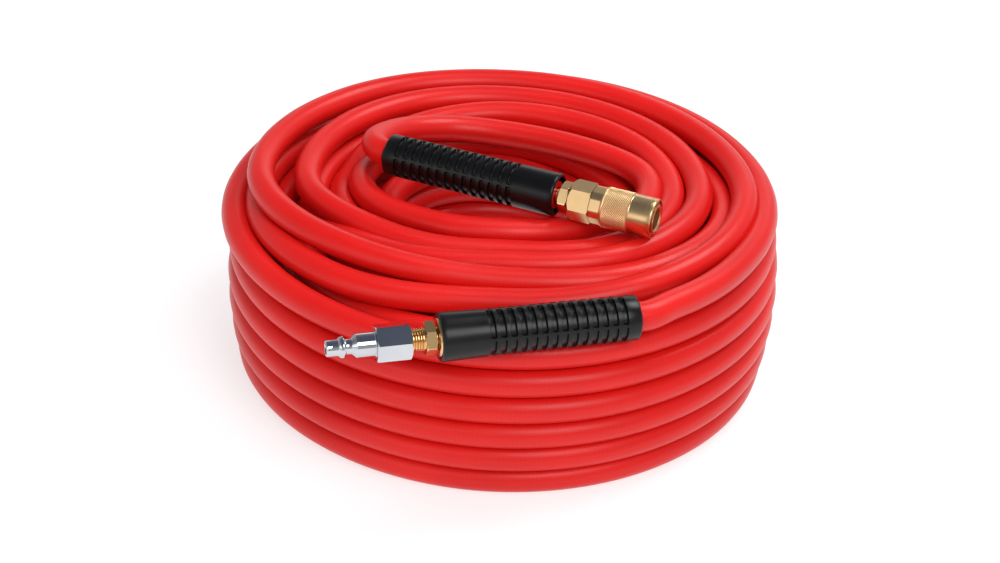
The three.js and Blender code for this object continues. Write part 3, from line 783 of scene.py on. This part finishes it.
def knurled_sleeve():
    rear, front, outside, band = 69.3, 85.0, 11.7, 11.48
    starts, pitch, depth, land, fade_length = 56, 1.45, 0.42, 1.35, 0.5

    def triangle(phase):
        return 1 - np.abs(phase % 1 * 2 - 1)

    def knurl(along, angle):
        """Two crossed helical grooves leave diamonds, whose tops are cut off by the land."""
        turn = starts * angle / (2 * math.pi)
        lead = (along - rear) / pitch
        diamond = np.minimum(triangle(turn + lead), triangle(turn - lead))
        fade = min(1.0, (along - rear) / fade_length, (front - along) / fade_length)
        return outside - depth * max(0.0, fade) * (1 - np.clip(diamond * land, 0, 1))

    rings = [(68.2, 11.15), (68.35, 11.35), (68.9, 11.62), (rear, 11.62)]
    rings += [(along, knurl) for along in steps(rear, front, 88)]
    # the smooth front band, with one fine groove
    rings += [
        (85.3, 11.5), (85.6, band), (94.9, band), (95.0, 11.36), (95.35, 11.36), (95.45, band),
        (98.1, band), (98.5, 11.3), (98.75, 10.95), (98.8, 10.5),
    ]
    # inside: the stop for the retaining ring, the balls' ramp, the spring's room and the rear mouth
    rings += [
        (96.7, 10.4), (96.7, 8.5), (95.2, 8.5), (95.2, 10.1), (92.1, 10.1), (86.7, 8.5), (84.6, 8.5),
        (84.6, 10.0), (74.0, 10.0), (74.0, 11.05), (68.25, 11.05),
    ]
    mesh = turned("knurled_sleeve", rings, AXIS, sides=SLEEVE_SIDES)
    obj = link("knurled_sleeve", mesh, SATIN_BRASS, "sleeve", 50)
    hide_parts("coupler_sleeve")


adapter()
socket()
knurled_sleeve()

# ---------------------------------------------------------------- carried-over CAD nodes

FINISHES = {
    "hose_end_coupler": RED,
    "hose_end_plug": RED,
    "sleeve_retaining_ring": STEEL,
    "valve_poppet": SATIN_BRASS,
    "poppet_seal": SEAL,
    "plug_seal": SEAL,
    "locking_ball_1": CHROME,
    "locking_ball_2": CHROME,
    "locking_ball_3": CHROME,
    "locking_ball_4": CHROME,
}


def finish(obj, material):
    obj.data.materials.clear()
    obj.data.materials.append(material)


for node_name, material in FINISHES.items():
    finish(bpy.data.objects[node_name], material)

# ---------------------------------------------------------------- springs


def pressed_spring(node_name):
    """A copy of a CAD spring in spring steel, carried on the hose's body in place of the CAD node."""
    obj = bpy.data.objects[node_name].copy()
    obj.data = obj.data.copy()
    obj.name = obj.data.name = node_name + "_coils"
    obj.parent = None
    scene.collection.objects.link(obj)
    obj.matrix_world = bpy.data.objects[node_name].matrix_world.copy()
    finish(obj, STEEL)
    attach(obj, "hose")
    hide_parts(node_name)
    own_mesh(obj)


pressed_spring("sleeve_spring")
pressed_spring("valve_spring")

# ---------------------------------------------------------------- floor, world and lights

FLOOR_HALF = 6.0
FLOOR_DROP = 0.0003  # keeps the floor's face off the hose's lowest points

# (position, colour) from the horizon up to the zenith: bright all round, darker and bluer overhead
SKY = (
    (0.0, (0.5, 0.5, 0.5)), (0.45, (0.42, 0.42, 0.43)), (0.7, (0.17, 0.18, 0.21)),
    (1.0, (0.10, 0.115, 0.16)),
)

# name: (position, target, width, height, power, shows in reflections)
SOFTBOXES = {
    "key": ((0.88, -0.73, 1.12), (0, 0, 0.06), 0.7, 0.7, 9, True),
    "front_left": ((-0.49, -1.37, 0.5), (0, 0, 0.1), 0.9, 0.55, 1.6, True),
    "back_top": ((0.55, 0.75, 1.45), (0, 0, 0.06), 0.8, 0.6, 12, True),
    "back_rim": ((-0.35, 1.6, 0.65), (0, 0, 0.1), 1.4, 0.3, 1.6, True),
    "overhead": ((0.0, 0.05, 1.8), (0, 0.02, 0.05), 0.9, 0.8, 12, False),
    "front_fill": ((0.1, -1.7, 1.0), (0, 0, 0.05), 1.2, 0.8, 7, False),
}


def floor():
    """A pale floor that glows a little, so that it stays white under the coil's shadow."""
    corners = [(-1, -1), (1, -1), (1, 1), (-1, 1)]
    mesh = bpy.data.meshes.new("floor")
    mesh.from_pydata([(FLOOR_HALF * x, FLOOR_HALF * y, 0) for x, y in corners], [], [(0, 1, 2, 3)])
    obj = bpy.data.objects.new("floor", mesh)
    obj.location.z = -FLOOR_DROP
    scene.collection.objects.link(obj)
    m = Nodes("pale_floor")
    m.set(
        Base_Color=(0.4, 0.4, 0.4, 1), Roughness=0.8, Specular_IOR_Level=0.1,
        Emission_Color=(1, 1, 1, 1), Emission_Strength=0.66,
    )
    mesh.materials.append(m.material)


def softbox(name, position, target, width, height, power, reflected):
    light = bpy.data.lights.new(name, "AREA")
    light.shape = "RECTANGLE"
    light.size = width
    light.size_y = height
    light.energy = power
    obj = bpy.data.objects.new(name, light)
    obj.location = position
    obj.rotation_euler = (Vector(target) - Vector(position)).to_track_quat("-Z", "Y").to_euler()
    obj.visible_glossy = reflected
    scene.collection.objects.link(obj)


def studio_world():
    world = bpy.data.worlds.new("studio")
    world.use_nodes = True
    tree = world.node_tree
    place = tree.nodes.new("ShaderNodeTexCoord")
    split = tree.nodes.new("ShaderNodeSeparateXYZ")
    ramp = tree.nodes.new("ShaderNodeValToRGB")
    fill_ramp(ramp, SKY)
    tree.links.new(place.outputs["Generated"], split.inputs[0])
    tree.links.new(split.outputs["Z"], ramp.inputs[0])
    tree.links.new(ramp.outputs[0], tree.nodes["Background"].inputs["Color"])
    scene.world = world


floor()
studio_world()
for light_name, settings in SOFTBOXES.items():
    softbox(light_name, *settings)
scene.view_settings.view_transform = "Standard"
